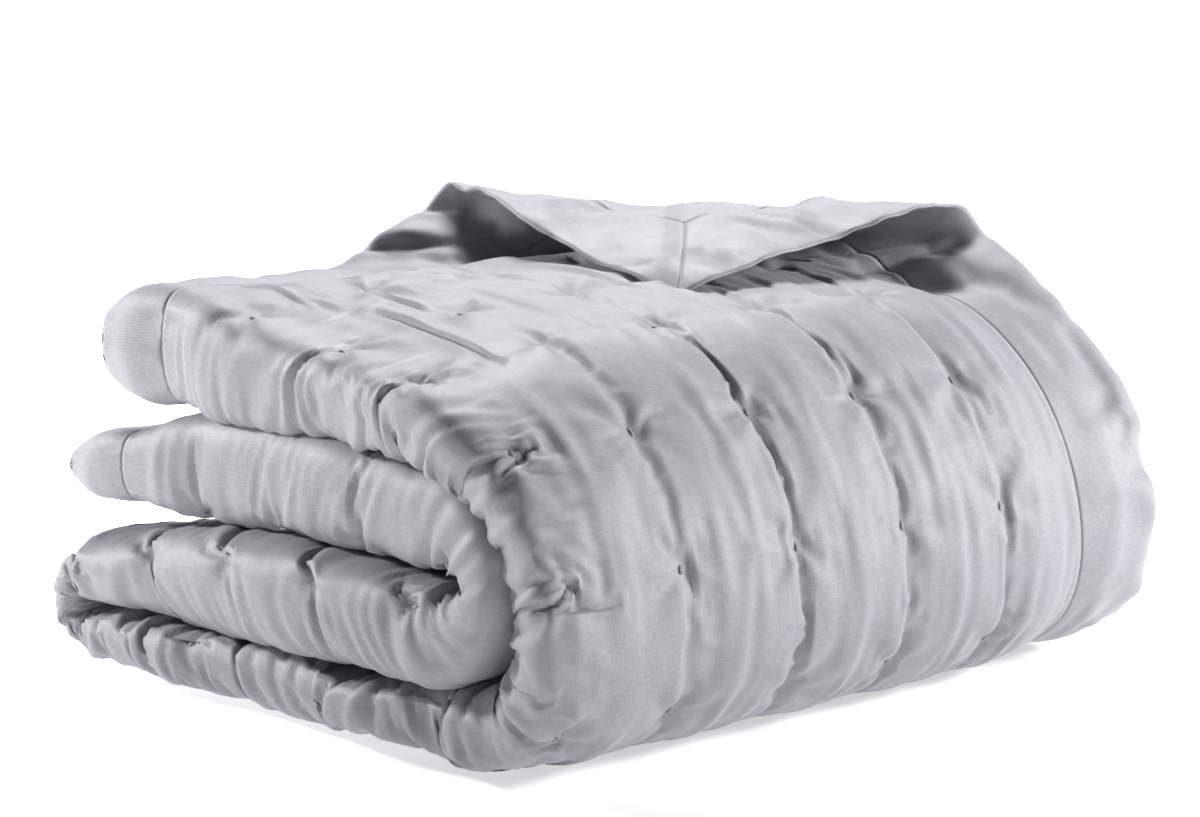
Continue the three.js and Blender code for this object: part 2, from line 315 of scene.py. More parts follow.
# Turns points of the top ply and the way they face over the slanting line, and thins the loop and flap
def turn_back(point, facing):
    along, shift, beyond, length = slant_place(point)
    share = np.clip(beyond / length, 0, 1)
    loops = (TENT_LOOP, ROLL_LOOP, FAR_LOOP)
    tent, roll, far = (np.stack([np.interp(share, LOOP_SHARE, row) for row in loop]) for loop in loops)
    near = blend(tent, roll, ease(along, *TENT_TO_ROLL))
    lean, out, up = blend(near, far, ease(along, *ROLL_TO_FAR))
    rest = MITRE_BEYOND + shift - SEAM_FALLS * np.hypot(along - MITRE_ALONG, MITRE_SOFTNESS) - length
    hinge = length + (rest + np.hypot(rest, HINGE_SOFTNESS)) / 2
    level = np.clip(beyond, length, hinge) - length
    fall = np.maximum(beyond - hinge, 0)
    lean = blend(lean, FLAP_LEVEL, ease(level, 0, HINGE_SOFTNESS))
    lean = blend(lean, FLAP_FALL, ease(fall, 0, HINGE_SOFTNESS))
    out = length * out + level * math.cos(FLAP_LEVEL) + fall * math.cos(FLAP_FALL)
    up = length * up + level * math.sin(FLAP_LEVEL) + fall * math.sin(FLAP_FALL)
    moved = point + (out - beyond)[..., None] * FOLD_ACROSS
    moved[..., 2] += up
    turned = facing * np.cos(lean)[..., None]
    turned += np.cross(FOLD_LINE, facing) * np.sin(lean)[..., None]
    turned += FOLD_LINE * ((facing @ FOLD_LINE) * (1 - np.cos(lean)))[..., None]
    past = (beyond > 0)[..., None]
    thinner = blend(1, FLAP_LOFT, ease(share, *FLAP_THINS))
    return np.where(past, moved, point), np.where(past, turned, facing), thinner


# Distance across the quilt from its long fold
def from_fold(u, v):
    shift = np.interp(u, *zip(*FOLD_SHIFTS))
    return v - shift * (1 - ease(np.abs(v), *SHIFT_FADES))


# Points of the folded quilt for points of the flat one, on its outer face (1) or its inner face (-1)
def folded(u, v, face, tufts=1.0):
    across = from_fold(u, v)
    side = np.clip(-across / HALF_PITCH, -1, 1)
    index, share, (x, z, nx, nz, half, ply) = station(u, ease(across, -HALF_PITCH, HALF_PITCH))
    thickness = ply * loft_at(u, v, squeeze_at(index, share, side), tufts)
    near_end = np.clip(1 - np.minimum(u, LENGTH - u) / END_REACH, 0, 1) ** 2
    taper_end = np.where(u < LENGTH / 2, *TAPER_ENDS)
    half = half * (1 - END_TAPER * near_end * (1 - ease(np.abs(v), TAPER_START, taper_end)))
    drop = np.interp(u, *zip(*FOLD_DROPS)) * (1 - ease(np.abs(across), *DROP_FADES))
    half = np.where(across < 0, half - drop, half)
    shift = sum(reach * np.sin(2 * np.pi * u / wave) for reach, wave in WANDER)
    facing = np.stack((nx, np.zeros(u.shape), nz), axis=-1)
    point = np.stack((x, shift, z), axis=-1)
    nose_depth = np.interp(u, *zip(*NOSE_DEPTHS))
    rise = np.sin(side * np.pi / 2)
    reach = np.cos(side * np.pi / 2)
    if face > 0:
        fuller = 1 + NOSE_FULLNESS[0] * reach ** 2
        rise, reach = rise * fuller, reach * (1 + NOSE_FULLNESS[1] * rise ** 2)
        skin = blend(thickness, np.maximum(thickness, BORDER_SKIN * ply), reach)
        depth = nose_depth - (ply - skin) / 2
    else:
        skin = thickness
        depth = np.maximum(nose_depth - thickness, LEAST_NOSE)
    nose = point + facing * ((half - ply / 2 + face * skin / 2) * rise)[..., None]
    nose[..., 1] -= depth * reach
    ply_middle = point + facing * (side * (half - ply / 2))[..., None]
    ply_middle[..., 1] += np.abs(across) - HALF_PITCH
    turned, looking, thinner = turn_back(ply_middle, facing)
    top = (side > 0) & (index <= SAGGING_TURN)
    ply_middle = np.where(top[..., None], turned, ply_middle)
    looking = np.where(top[..., None], looking, facing)
    thickness = np.where(top, thickness * thinner, thickness)
    flat_ply = ply_middle + looking * (side * face * thickness / 2)[..., None]
    result = np.where((np.abs(across) < HALF_PITCH)[..., None], nose, flat_ply)
    result[..., 2] = np.maximum(result[..., 2], 0)
    return result - CENTRE


# Grid lines over the flat quilt: the same number of steps in each tuft cell, margin and border
CELL_STEPS = 30
EDGE_STEPS = 24


def grid_lines(stops):
    lines = [np.array([stops[0][0]])]
    for (start, _), (end, steps) in zip(stops, stops[1:]):
        lines.append(np.linspace(start, end, steps + 1)[1:])
    return np.concatenate(lines)


U_STOPS = [(0, 0), (BORDER, EDGE_STEPS)]
U_STOPS += [(BORDER + MARGIN + ROW_PITCH * row, CELL_STEPS if row else EDGE_STEPS) for row in range(ROWS)]
U_STOPS += [(LENGTH - BORDER, EDGE_STEPS), (LENGTH, EDGE_STEPS)]
V_HALF = [HALF_PITCH + COLUMN_PITCH * column for column in range(COLUMNS_PER_PLY)]
V_STOPS = [(-HALF_WIDTH, 0), (-PANEL_HALF_WIDTH, EDGE_STEPS), (-V_HALF[-1], EDGE_STEPS)]
V_STOPS += [(-value, CELL_STEPS) for value in reversed(V_HALF[:-1])]
V_STOPS += [(value, CELL_STEPS) for value in V_HALF]
V_STOPS += [(PANEL_HALF_WIDTH, EDGE_STEPS), (HALF_WIDTH, EDGE_STEPS)]
U_LINES = grid_lines(U_STOPS)
V_LINES = grid_lines(V_STOPS)
LAST_I = len(U_LINES) - 1
LAST_J = len(V_LINES) - 1
FIRST_ROW = 2 * EDGE_STEPS
FIRST_COLUMN = 2 * EDGE_STEPS
NOSE_START = FIRST_COLUMN + (COLUMNS_PER_PLY - 1) * CELL_STEPS
NOSE_END = NOSE_START + CELL_STEPS
FLAP_I = FIRST_ROW + 4 * CELL_STEPS
FLAP_J = FIRST_COLUMN + 2 * CELL_STEPS
U, V = np.meshgrid(U_LINES, V_LINES, indexing="ij")
ACROSS = from_fold(U, V)
OUTER = folded(U, V, 1)
INNER = folded(U, V, -1)
LOOK = (OUTER - INNER) / np.maximum(np.linalg.norm(OUTER - INNER, axis=-1), 1e-6)[..., None]


# Smooth seeded noise between about -1 and 1, with a knot at each whole number of its two coordinates
def smooth_noise(a, b, seed):
    random = np.random.default_rng(seed)
    a = a - a.min()
    b = b - b.min()
    nodes = random.uniform(-1, 1, (int(a.max()) + 2, int(b.max()) + 2))
    i = a.astype(int)
    j = b.astype(int)
    fa = ease(a - i, 0, 1)
    fb = ease(b - j, 0, 1)
    low = blend(nodes[i, j], nodes[i, j + 1], fb)
    high = blend(nodes[i + 1, j], nodes[i + 1, j + 1], fb)
    return blend(low, high, fa)


# Noise over the flat quilt, drawn out along it
def cloth_noise(size, seed, drawn=1):
    return smooth_noise(U / (size * drawn), V / size, seed)


STAR_REACH = 15.0


# Creases that run out from each tuft like a star
def star_creases():
    random = np.random.default_rng(7)
    row = np.clip(np.round((U - BORDER - MARGIN) / ROW_PITCH), 0, ROWS - 1).astype(int)
    place = (V - HALF_PITCH) / COLUMN_PITCH
    column = np.clip(np.round(place), -COLUMNS_PER_PLY, COLUMNS_PER_PLY - 1).astype(int)
    du = U - BORDER - MARGIN - ROW_PITCH * row
    dv = V - HALF_PITCH - COLUMN_PITCH * column
    away = np.hypot(du, dv) / STAR_REACH
    arms = random.integers(4, 7, (ROWS, 2 * COLUMNS_PER_PLY))[row, column + COLUMNS_PER_PLY]
    turn = random.uniform(0, 2 * np.pi, (ROWS, 2 * COLUMNS_PER_PLY))[row, column + COLUMNS_PER_PLY]
    angle = np.arctan2(dv, du)
    uneven = 0.6 + 0.4 * np.cos(angle + 2 * turn)
    return np.cos(arms * angle + turn) * uneven * away * np.exp(1 - away)


NOSE = 1 - ease(np.abs(ACROSS), 40, 90)
TOP_SHARE = 1 - ease(U, 330, 460)
# Spare length of cloth along the long fold, at places along the quilt
FOLD_SLACK = (
    (0, 0.02), (168, 0.035), (376, 0.08), (760, 0.1), (1200, 0.12), (1320, 0.12), (1400, 0.045),
    (1700, 0.05), (1760, 0.1), (1870, 0.09), (1960, 0.03), (2331, 0.02),
)
# Spare length elsewhere: along and across the plies and their top, across the fold, and in the borders
PLY_SLACK_ALONG = (0.004, 0.012)
PLY_SLACK_ACROSS = (0.042, 0.036)
FOLD_SLACK_ACROSS = 0.08
BORDER_SLACK = 0.006
BORDER_FOLD_SLACK = 0.05
SLACK_ALONG = blend(blend(*PLY_SLACK_ALONG, TOP_SHARE), np.interp(U, *zip(*FOLD_SLACK)), NOSE)
SLACK_ACROSS = blend(blend(*PLY_SLACK_ACROSS, TOP_SHARE), FOLD_SLACK_ACROSS, NOSE)
IN_BORDER = inside_seam(U, V) < 0
SLACK_VARIES = 1 + 0.5 * cloth_noise(85, 3)
SLACK_ALONG = np.where(IN_BORDER, BORDER_SLACK, SLACK_ALONG) * SLACK_VARIES
SLACK_ACROSS = np.where(IN_BORDER, blend(BORDER_SLACK, BORDER_FOLD_SLACK, NOSE), SLACK_ACROSS) * SLACK_VARIES


# Points that the sewing holds: tufts, border seams, mitres and hems
def sewn_points():
    held = np.zeros(U.shape, bool)
    rows = FIRST_ROW + CELL_STEPS * np.arange(ROWS)
    columns = FIRST_COLUMN + CELL_STEPS * np.arange(2 * COLUMNS_PER_PLY)
    for row in rows:
        for column in columns:
            held[row - 1:row + 2, column] = True
            held[row, column - 1:column + 2] = True
    seams = (EDGE_STEPS, LAST_I - EDGE_STEPS, EDGE_STEPS, LAST_J - EDGE_STEPS)
    held[seams[0], seams[2]:seams[3] + 1] = True
    held[seams[1], seams[2]:seams[3] + 1] = True
    held[seams[0]:seams[1] + 1, seams[2]] = True
    held[seams[0]:seams[1] + 1, seams[3]] = True
    steps = np.arange(EDGE_STEPS + 1)
    for i in (steps, LAST_I - steps):
        for j in (steps, LAST_J - steps):
            held[i, j] = True
    held[0] = True
    held[-1] = True
    held[:, 0] = True
    held[:, -1] = True
    return held


SEWN = sewn_points()
FIRM = 0.01
FOLD_FIRM = 0.03
MOST_GATHERED = 1.35
STEPS = 600
PASSES = 2
KEPT_SPEED = 0.9
WEAVE_PULL = 0.9
SLANT_PULL = 0.12
BEND = 0.012


# Cloth with slack over its wadding: springs along, across and on the slant of the weave, bending, and the
# wadding's push, with the sewn points held
def relax(shape, plain, window, wadding, limits, steps):
    rows, columns = window
    start = shape[rows, columns]
    rest = plain[rows, columns]
    look = LOOK[rows, columns].astype(np.float32)
    free = np.where(SEWN[rows, columns], 0.0, 1.0)
    for edge in (free[0], free[-1], free[:, 0], free[:, -1]):
        edge[:] = 0
    rough = cloth_noise(9, 11)[rows, columns] + 1.2 * cloth_noise(20, 12)[rows, columns]
    point = (start + look * (rough * free)[..., None]).astype(np.float32)
    along = np.linalg.norm(np.diff(rest, axis=0), axis=-1)
    flat = np.diff(U[rows, columns], axis=0)
    along = along * (1 + (SLACK_ALONG[rows, columns][1:] + SLACK_ALONG[rows, columns][:-1]) / 2)
    gathered = np.minimum(flat, along * MOST_GATHERED)
    along = np.where(NOSE[rows, columns][1:] > 0.5, np.maximum(along, gathered), along)
    across = np.linalg.norm(np.diff(rest, axis=1), axis=-1)
    across = across * (1 + (SLACK_ACROSS[rows, columns][:, 1:] + SLACK_ACROSS[rows, columns][:, :-1]) / 2)
    slack = (1 + SLACK_ALONG[rows, columns][1:, 1:]) * (1 + SLACK_ACROSS[rows, columns][1:, 1:])
    slack = np.sqrt(slack)
    rising = np.linalg.norm(rest[1:, 1:] - rest[:-1, :-1], axis=-1) * slack
    falling = np.linalg.norm(rest[1:, :-1] - rest[:-1, 1:], axis=-1) * slack
    springs = []

    def spring(a, b, length, strength):
        both = np.maximum(free[a] + free[b], 1e-6)
        first = (strength * free[a] / both)[..., None].astype(np.float32)
        second = (strength * free[b] / both)[..., None].astype(np.float32)
        springs.append((a, b, length.astype(np.float32), first, second))

    n, m = free.shape
    for odd in (0, 1):
        spring(np.s_[odd:n - 1:2], np.s_[odd + 1:n:2], along[odd::2], WEAVE_PULL)
        spring(np.s_[:, odd:m - 1:2], np.s_[:, odd + 1:m:2], across[:, odd::2], WEAVE_PULL)
        spring(np.s_[odd:n - 1:2, :-1], np.s_[odd + 1:n:2, 1:], rising[odd::2], SLANT_PULL)
        spring(np.s_[odd:n - 1:2, 1:], np.s_[odd + 1:n:2, :-1], falling[odd::2], SLANT_PULL)
    puff, firmness = (values[rows, columns].astype(np.float32) for values in wadding)
    firmness = firmness * free.astype(np.float32)
    low, high = (limit[rows, columns].astype(np.float32) for limit in limits)
    base = start.astype(np.float32)
    bend = (BEND * free[2:-2, 2:-2])[..., None].astype(np.float32)
    before = point.copy()
    for _ in range(steps):
        speed = (point - before) * KEPT_SPEED
        before = point.copy()
        off = np.einsum("ijk,ijk->ij", point - base, look)
        point += speed + (firmness * (puff - off))[..., None] * look
        for _ in range(PASSES):
            for a, b, length, first, second in springs:
                gap = point[b] - point[a]
                size = np.sqrt(np.einsum("ijk,ijk->ij", gap, gap))
                gap *= (1 - length / size)[..., None]
                point[a] += first * gap
                point[b] -= second * gap
            ring = point[:-2, 1:-1] + point[2:, 1:-1] + point[1:-1, :-2] + point[1:-1, 2:]
            curl = ring * 0.25 - point[1:-1, 1:-1]
            ring = curl[:-2, 1:-1] + curl[2:, 1:-1] + curl[1:-1, :-2] + curl[1:-1, 2:]
            point[2:-2, 2:-2] -= bend * (ring * 0.25 - curl[1:-1, 1:-1])
        off = np.einsum("ijk,ijk->ij", point - base, look)
        point += (np.clip(off, low, high) - off)[..., None] * look
        np.maximum(point[..., 2], 0, out=point[..., 2])
    shape[rows, columns] = point


# How far the folds swell to close on their neighbours, in millimetres at places along the quilt
SECOND_PLY_SWELL = (
    (0, 0), (84, 0), (170, 7), (376, 6), (600, 6), (795, 0), (850, -4), (1180, -4), (1300, 0), (1420, 8),
    (1700, 9), (1757, 7), (2160, 8), (2247, 0), (2331, 0),
)
FIRST_PLY_SWELL = (
    (0, 0), (700, 0), (800, -8), (1180, -8), (1260, 0), (1300, 0), (1400, 2), (1700, 2), (1757, 0),
    (1860, 0), (1920, 3), (2160, 3), (2247, 0), (2331, 0),
)

# How deep the gathers run on each side of the long fold, in millimetres at places along the quilt
FIRST_PLY_GATHERS = (
    (0, 0.5), (150, 1.2), (376, 2), (800, 2.5), (1150, 2.5), (1230, 5), (1330, 5), (1400, 0.8),
    (1690, 0.8), (1770, 5), (1860, 5), (1930, 3), (2200, 2), (2331, 0.5),
)
SECOND_PLY_GATHERS = (
    (0, 0.5), (120, 3), (240, 4.5), (376, 5), (760, 5), (830, 4), (1150, 4), (1200, 5), (1290, 5),
    (1350, 2), (1700, 2.4), (1760, 3), (1880, 3), (1960, 1), (2331, 0.5),
)


# Width and length of the gathers
COARSE_GATHER = (13, 75)
FINE_GATHER = (7, 34)
GATHER_SLANT = 0.45


# Rounded gathers with sharp valleys, slanting a little across the long fold
def gathers():
    bent = U + GATHER_SLANT * V + 14 * cloth_noise(48, 41)
    coarse = np.abs(smooth_noise(bent / COARSE_GATHER[0], V / COARSE_GATHER[1], 42)) * 2 - 0.7
    fine = np.abs(smooth_noise(bent / FINE_GATHER[0], V / FINE_GATHER[1], 43)) * 2 - 0.7
    first = np.interp(U, *zip(*FIRST_PLY_GATHERS))
    second = np.interp(U, *zip(*SECOND_PLY_GATHERS))
    reach = blend(first, second, ease(ACROSS, -28, 28)) * (1 - ease(np.abs(ACROSS), 58, 80))
    return reach * (0.75 * coarse + 0.35 * fine) * ease(inside_seam(U, V), 0, 30)


PLY_PUFF = 1.7
NOSE_PUFF = 3.0
STAR_DEPTH = 2.4
STREAK_DEPTH = 1.7


# How far the wadding puffs the cloth out, and how far it may sink and stand out
def wadding_shape():
    front = np.cos(np.clip(-ACROSS / HALF_PITCH, -1, 1) * np.pi / 2)
    left_fold = ease(U, 1190, 1230) * (1 - ease(U, 1340, 1390))
    outside = np.where(V < 0, np.maximum(1 - ease(U, 860, 900), left_fold), 0)
    row = row_nearness(U)
    column = column_nearness(V)
    puff = outside * PLY_PUFF * (1 - column) + NOSE_PUFF * front * (1 - 0.15 * row)
    to_hem = np.minimum(np.minimum(U, LENGTH - U), HALF_WIDTH - np.abs(V))
    puff = puff * ease(np.abs(inside_seam(U, V)), 0, 40) * ease(to_hem, 0, 45) + gathers()
    puff = puff + np.where(inside_seam(U, V) > 0, STAR_DEPTH * star_creases(), 0)
    puff = puff + outside * STREAK_DEPTH * cloth_noise(11, 31, 6) * (1 - column)
    second_ply = np.interp(U, *zip(*SECOND_PLY_SWELL)) * ease(ACROSS, 0, 40) * (1 - ease(ACROSS, 75, 100))
    first_ply = np.interp(U, *zip(*FIRST_PLY_SWELL)) * ease(-ACROSS, 0, 40) * (1 - ease(-ACROSS, 75, 100))
    puff = puff + second_ply + first_ply
    folds = 1 - ease(np.abs(ACROSS), 45, 80)
    high = blend(3.0 + second_ply + first_ply, 9.0, outside)
    creased = np.where(inside_seam(U, V) > 20, column ** LINE_SHARPNESS, 0) * creased_share(U)
    high = blend(high, 0.0, creased * outside * ease(-V, 75, 120))
    high = blend(high, puff + 5, folds)
    smooth_fold = (1 - ease(U, 200, 376)) + ease(U, 1870, 1960)
    low = blend(-8.5, puff - blend(5, 2.5, smooth_fold), folds)
    low = blend(low, -3.0, 1 - ease(to_hem, 0, 45))
    low = np.maximum(low, -0.4 * np.linalg.norm(OUTER - INNER, axis=-1))
    return puff, (low, high)


# Place along and beyond the slanting line for points of the flat quilt, and the length of the loop there
def flat_slant_place():
    point = np.stack((TURNBACK_START[0] + U, np.abs(V) - HALF_PITCH, 0 * U), axis=-1)
    along, _, beyond, length = slant_place(point)
    return along, beyond, length


# 1 on the cloth inside the loop and under the flap of the turned-back corner
def tucked_share():
    _, beyond, length = flat_slant_place()
    return np.where((V < 0) & (U < 400), ease(beyond / length, 0.35, 0.6), 0)


# Depth and size of the waves, how much more the border waves over the big turn, and the depth of the pleats
LONG_WAVE = (2.2, 34)
SHORT_WAVE = (1.4, 17)
TURN_WAVES = 1.2
PLEAT_DEPTH = 20


# Gentle waves along the borders that grow toward the hem, and soft pleats where the corner rises to turn back
def border_waves():
    outward = np.clip(-inside_seam(U, V) / BORDER, 0, 1)
    over_turn = np.where(V < 0, ease(U, 370, 450) * (1 - ease(U, 780, 850)), 0)
    waves = LONG_WAVE[0] * cloth_noise(LONG_WAVE[1], 51) + SHORT_WAVE[0] * cloth_noise(SHORT_WAVE[1], 52)
    waves = outward * waves * (1 + TURN_WAVES * over_turn)
    along, beyond, length = flat_slant_place()
    rising = ease(beyond, -15, 30) * (1 - ease(beyond, 0.6 * length, 0.95 * length))
    hem_distance = np.minimum(U, HALF_WIDTH + V)
    near_hem = 1 - ease(hem_distance, 90, 190)
    left = smooth_noise((V + 0.7 * U) / 30, U / 170, 53)
    right = smooth_noise((U + 0.5 * V) / 34, V / 170, 54)
    reach = blend(PLEAT_DEPTH, PLEAT_DEPTH * ease(hem_distance, 4, 40), ease(along, 0.4, 0.6))
    pleats = reach * (np.abs(blend(left, right, ease(along, 0.4, 0.6))) - 0.4) * rising * near_hem
    return waves + np.where((V < 0) & (U < 400), pleats, 0)


WRINKLE_DEPTH = 5.5
UNEVEN_DEPTH = 3


# Wrinkles across the borders on the face that the turned-back corner shows
def flap_wrinkles():
    outward = np.clip(-inside_seam(U, V) / BORDER, 0, 1)
    past_mitre = HALF_WIDTH - np.abs(V) - np.minimum(U, LENGTH - U)
    end = past_mitre > 0
    across_end = smooth_noise((V + 0.4 * U) / 17, U / 70, 21)
    across_side = smooth_noise((U + 0.4 * V) / 17, V / 70, 22)
    wrinkles = WRINKLE_DEPTH * (np.abs(np.where(end, across_end, across_side)) - 0.3)
    wrinkles = wrinkles + UNEVEN_DEPTH * cloth_noise(30, 23)
    return wrinkles * np.minimum(4 * outward * (1 - outward), 1) * ease(np.abs(past_mitre), 0, 25)


LEAST_ROOM = 1.5
LEFT_ROWS = np.s_[FIRST_ROW + 275:FIRST_ROW + 364]
waves = border_waves()[..., None]
OUTER += LOOK * waves
INNER += LOOK * waves
PUFF, LIMITS = wadding_shape()
PLAIN_OUTER = folded(U, V, 1, 0.0) + LOOK * waves
BEFORE = OUTER.copy()
outside_rows = np.s_[0:FIRST_ROW + 7 * CELL_STEPS + 1]
outside_columns = np.s_[0:NOSE_END + 16]
wadding = (PUFF, blend(FIRM, FOLD_FIRM, 1 - ease(np.abs(ACROSS), 55, 85)))
relax(OUTER, PLAIN_OUTER, (outside_rows, outside_columns), wadding, LIMITS, STEPS)
fold_rows = np.s_[FIRST_ROW + 6 * CELL_STEPS:LAST_I + 1]
fold_columns = np.s_[NOSE_START - 24:NOSE_END + 12]
relax(OUTER, PLAIN_OUTER, (fold_rows, fold_columns), wadding, LIMITS, STEPS)
left_window = (LEFT_ROWS, np.s_[0:NOSE_START - 22])
relax(OUTER, PLAIN_OUTER, left_window, wadding, LIMITS, STEPS // 2)
OUTER = blend(OUTER, BEFORE, tucked_share()[..., None])
room = np.einsum("ijk,ijk->ij", OUTER - INNER, LOOK)
INNER -= LOOK * np.maximum(flap_wrinkles(), LEAST_ROOM - room)[..., None]


# One piece of the visual model: points kept by face and grid line, and the polygons between them
class Shell:
    def __init__(self):
        self.ids = {}
        self.polygons = []

    def at(self, key):
        return self.ids.setdefault(key, len(self.ids))

    def add(self, *keys):
        self.polygons.append([self.at(key) for key in keys])

    # Cells between the given lines; across tells which side of a mitre a point is on, or is None
    def patch(self, face, rows, columns, across=None):
        for i0, i1 in zip(rows, rows[1:]):
            for j0, j1 in zip(columns, columns[1:]):
                ring = [(i0, j0), (i1, j0), (i1, j1), (i0, j1)]
                if across:
                    ring = [corner for corner in ring if across(*corner) >= 0]
                    if len(ring) < 3:
                        continue
                self.add(*((face, i, j) for i, j in ring))

    # Triangles between two runs of points, paired by their place along the runs
    def lace(self, first, second, along):
        a = 0
        b = 0
        while a < len(first) - 1 or b < len(second) - 1:
            more_first = a < len(first) - 1
            more_second = b < len(second) - 1
            if more_first and (not more_second or first[a + 1][along] <= second[b + 1][along]):
                self.add(first[a], first[a + 1], second[b])
                a += 1
            else:
                self.add(first[a], second[b + 1], second[b])
                b += 1

    def run(self, face, test, along):
        keys = [key for key in self.ids if key[0] == face and test(key[1], key[2])]
        return sorted(keys, key=lambda key: key[along])

    def rim(self, test, along):
        self.lace(self.run(1, test, along), self.run(-1, test, along), along)

    def build(self, name, material):
        keys = np.array(list(self.ids))
        outer = keys[:, 0] > 0
        points = np.where(outer[:, None], OUTER[keys[:, 1], keys[:, 2]], INNER[keys[:, 1], keys[:, 2]])
        mesh = bpy.data.meshes.new(name)
        mesh.from_pydata((points * METRES).tolist(), [], self.polygons)
        flat = np.stack((U_LINES[keys[:, 1]], V_LINES[keys[:, 2]]), axis=-1) * METRES
        corners = np.zeros(len(mesh.loops), int)
        mesh.loops.foreach_get("vertex_index", corners)
        layer = mesh.uv_layers.new(name="flat_cloth")
        layer.data.foreach_set("uv", flat[corners].ravel())
        work = bmesh.new()
        work.from_mesh(mesh)
        bmesh.ops.recalc_face_normals(work, faces=work.faces)
        work.to_mesh(mesh)
        work.free()
        mesh.shade_smooth()
        mesh.materials.append(material)
        piece = bpy.data.objects.new(name, mesh)
        bpy.context.scene.collection.objects.link(piece)
        return piece


def lines(first, last, step):
    return sorted({*range(first, last, step), last})


SEEN_ROWS = FIRST_ROW + 7 * CELL_STEPS
BAND_LOW = NOSE_START - 20
BAND_HIGH = NOSE_END + 4
SEAM_I = (EDGE_STEPS, LAST_I - EDGE_STEPS)
SEAM_J = (EDGE_STEPS, LAST_J - EDGE_STEPS)
SPARSE = 4


def panel_shell():
    shell = Shell()
    seen = lines(SEAM_I[0], SEEN_ROWS, 1)
    every = lines(SEAM_I[0], SEAM_I[1], 1)
    left_fold = range(LEFT_ROWS.start, LEFT_ROWS.stop)
    hidden = sorted({*lines(SEEN_ROWS + SPARSE, SEAM_I[1], SPARSE), *left_fold})
    sparse = lines(SEAM_I[0], SEAM_I[1], SPARSE)
    upper = lines(SEAM_J[0], BAND_LOW, 1)
    hidden_upper = lines(SEAM_J[0], BAND_LOW - SPARSE, 3)
    lower = lines(BAND_HIGH + SPARSE, SEAM_J[1], 6)
    shell.patch(1, seen, upper)
    shell.patch(1, every, lines(BAND_LOW, BAND_HIGH, 1))
    shell.patch(1, hidden, hidden_upper)
    shell.patch(1, sparse, lower)
    shell.lace([(1, SEEN_ROWS, j) for j in upper], [(1, hidden[0], j) for j in hidden_upper], 2)
    beside_band = [(1, i, BAND_LOW) for i in every if i >= SEEN_ROWS]
    shell.lace(beside_band, [(1, i, hidden_upper[-1]) for i in hidden], 1)
    shell.lace([(1, i, BAND_HIGH) for i in every], [(1, i, lower[0]) for i in sparse], 1)
    flap_i = lines(SEAM_I[0], FLAP_I, 1)
    flap_j = lines(SEAM_J[0], FLAP_J, 1)
    lining_i = lines(FLAP_I + SPARSE, SEAM_I[1], SPARSE)
    lining_j = lines(SEAM_J[0], FLAP_J - SPARSE, SPARSE)
    under_j = lines(FLAP_J + SPARSE, SEAM_J[1], 6)
    shell.patch(-1, flap_i, flap_j)
    shell.patch(-1, lining_i, lining_j)
    shell.patch(-1, sparse, under_j)
    shell.lace([(-1, FLAP_I, j) for j in flap_j], [(-1, lining_i[0], j) for j in lining_j], 2)
    edge = [(-1, i, FLAP_J) for i in flap_i] + [(-1, i, lining_j[-1]) for i in lining_i]
    shell.lace(edge, [(-1, i, under_j[0]) for i in sparse], 1)
    for line in SEAM_I:
        shell.rim(lambda i, j: i == line, 2)
    for line in SEAM_J:
        shell.rim(lambda i, j: j == line, 1)
    return shell


# Lines along a border strip: every line where it is seen and in its mitred ends
def strip_lines(last, seen):
    mitre = last - EDGE_STEPS
    return sorted({*range(0, seen + 1), *range(seen, mitre, SPARSE), *range(mitre, last + 1)})


def end_border_shell(far, seen):
    shell = Shell()
    rows = list(range(LAST_I - EDGE_STEPS, LAST_I + 1)) if far else list(range(EDGE_STEPS + 1))
    columns = strip_lines(LAST_J, seen)

    def out(i):
        return LAST_I - i if far else i

    def across(i, j):
        return min(j, LAST_J - j) - out(i)

    for face in (1, -1):
        shell.patch(face, rows, columns, across)
    shell.rim(lambda i, j: out(i) == 0, 2)
    shell.rim(lambda i, j: out(i) == EDGE_STEPS, 2)
    shell.rim(lambda i, j: j == out(i), 1)
    shell.rim(lambda i, j: LAST_J - j == out(i), 1)
    return shell


def side_border_shell(far, seen):
    shell = Shell()
    columns = list(range(LAST_J - EDGE_STEPS, LAST_J + 1)) if far else list(range(EDGE_STEPS + 1))
    rows = strip_lines(LAST_I, seen)

    def out(j):
        return LAST_J - j if far else j

    def across(i, j):
        return min(i, LAST_I - i) - out(j)

    for face in (1, -1):
        shell.patch(face, rows, columns, across)
    shell.rim(lambda i, j: out(j) == 0, 1)
    shell.rim(lambda i, j: out(j) == EDGE_STEPS, 1)
    shell.rim(lambda i, j: i == out(j), 2)
    shell.rim(lambda i, j: LAST_I - i == out(j), 2)
    return shell


